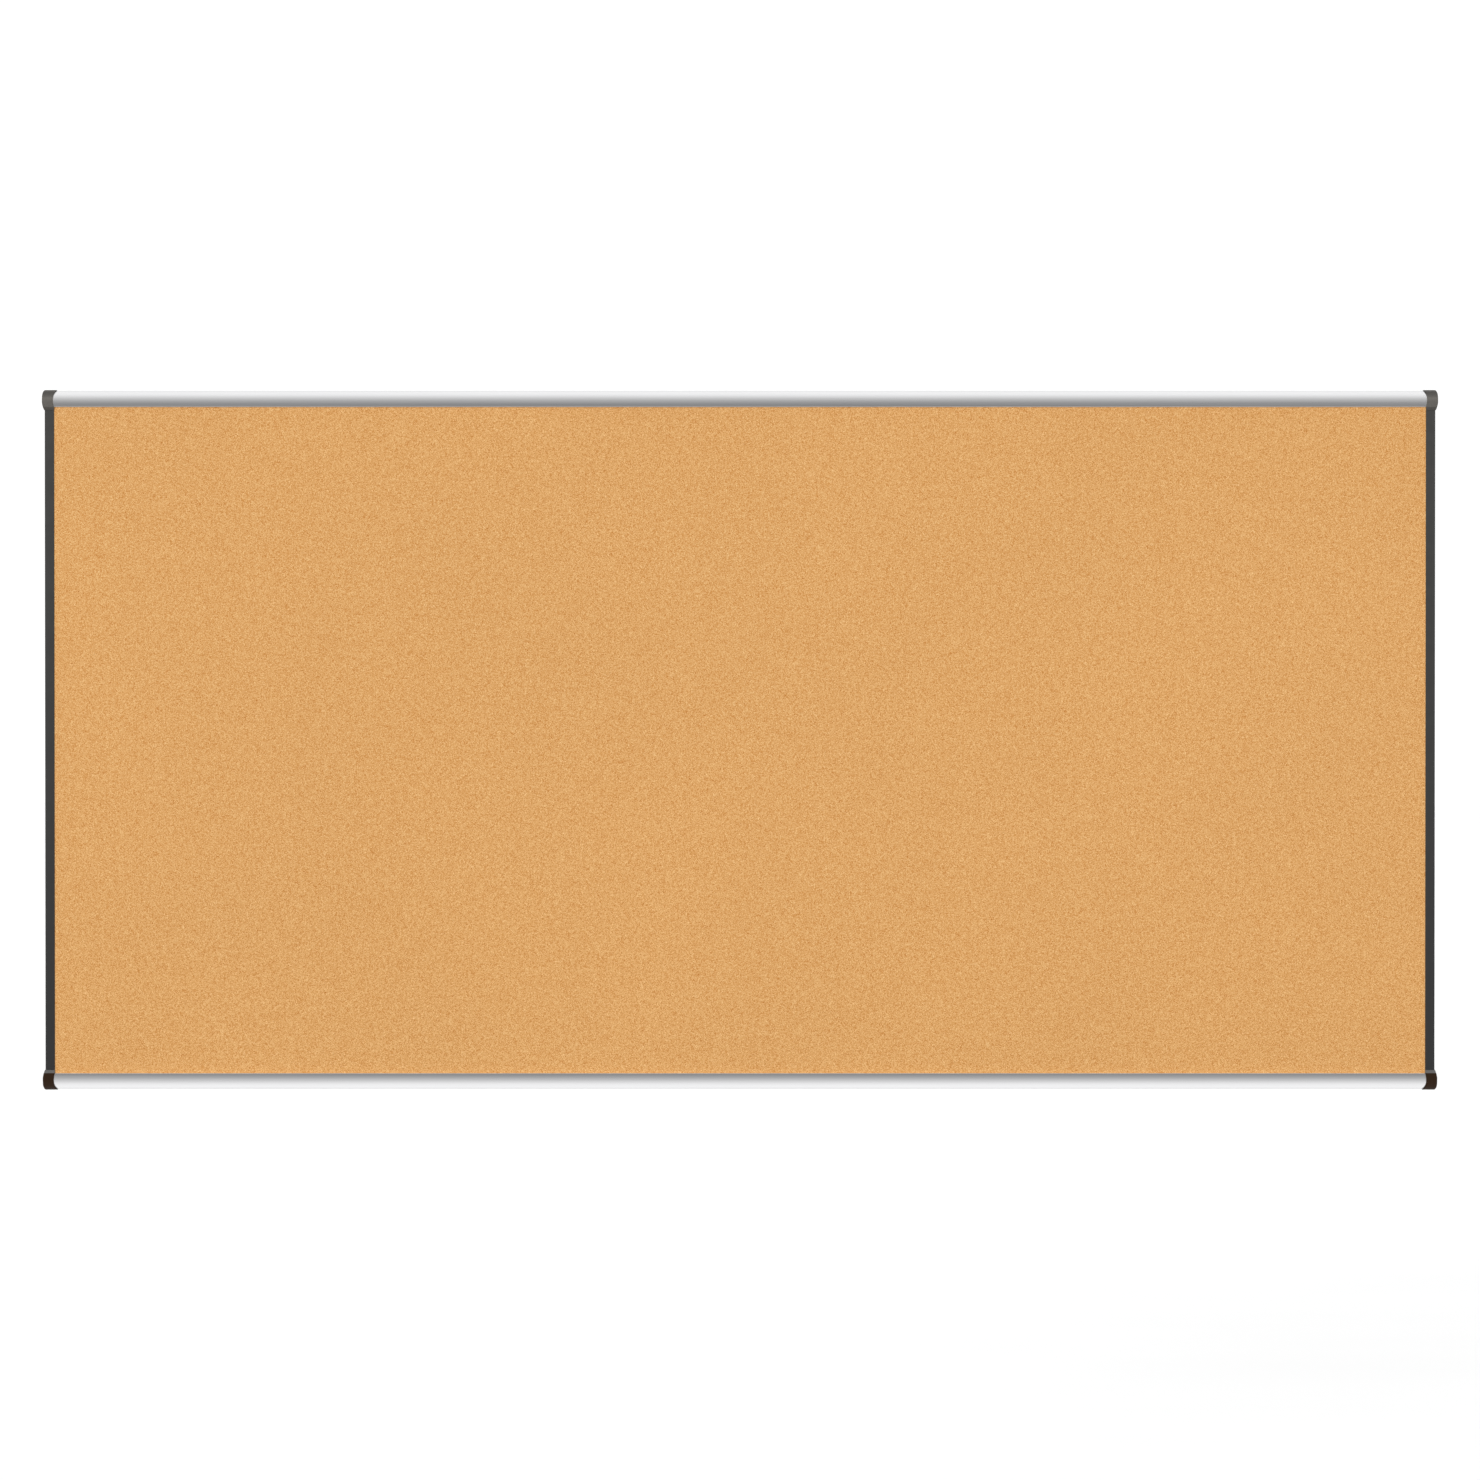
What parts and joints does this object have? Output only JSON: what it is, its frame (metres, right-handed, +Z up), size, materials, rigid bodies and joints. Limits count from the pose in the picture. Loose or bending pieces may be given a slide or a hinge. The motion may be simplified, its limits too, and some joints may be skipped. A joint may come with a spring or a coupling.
{
  "type": "cork bulletin board",
  "caption": "Wide wall-mounted cork bulletin board with rounded aluminium rails, dark side trims, moulded corner caps and keyhole hangers that slide along the rails.",
  "frame": {"origin": "centre of the board on the wall plane, which is the centre of the four keyhole entries", "axes": "+X to the right seen from the front, +Z up, +Y into the wall, so the cork faces -Y"},
  "size_m": [2.4384, 0.0266, 1.224],
  "materials": {
    "cork": "natural granular cork, matte",
    "fibreboard": "pressed fibreboard, matte",
    "backing": "brown kraft balancing sheet, matte",
    "satin_aluminium": "satin anodised, fine lengthwise grain",
    "charcoal_trim": "satin charcoal",
    "black_plastic": "fine moulded texture, satin",
    "black_steel": "black oxide",
    "zinc_steel": "bright zinc plated"
  },
  "bodies": {
    "board": {"cork_sheet": "cork", "fibreboard_core": "fibreboard", "backing_sheet": "backing", "top_rail": "satin_aluminium", "bottom_rail": "satin_aluminium", "left_trim": "charcoal_trim", "right_trim": "charcoal_trim", "top_left_cap": "black_plastic", "top_right_cap": "black_plastic", "bottom_left_cap": "black_plastic", "bottom_right_cap": "black_plastic", "cap_screws": "black_steel", "rail_screws": "zinc_steel", "trim_screws": "zinc_steel"},
    "hanger_top_left": {"top_left_hanger": "zinc_steel"},
    "hanger_top_right": {"top_right_hanger": "zinc_steel"},
    "hanger_bottom_left": {"bottom_left_hanger": "zinc_steel"},
    "hanger_bottom_right": {"bottom_right_hanger": "zinc_steel"}
  },
  "joints": [
    {"name": "slide_top_left", "type": "slide", "parent": "board", "child": "hanger_top_left", "axis": [1, 0, 0], "range_m": [-0.54, 0.54]},
    {"name": "slide_top_right", "type": "slide", "parent": "board", "child": "hanger_top_right", "axis": [1, 0, 0], "range_m": [-0.54, 0.54]},
    {"name": "slide_bottom_left", "type": "slide", "parent": "board", "child": "hanger_bottom_left", "axis": [1, 0, 0], "range_m": [-0.54, 0.54]},
    {"name": "slide_bottom_right", "type": "slide", "parent": "board", "child": "hanger_bottom_right", "axis": [1, 0, 0], "range_m": [-0.54, 0.54]}
  ]
}
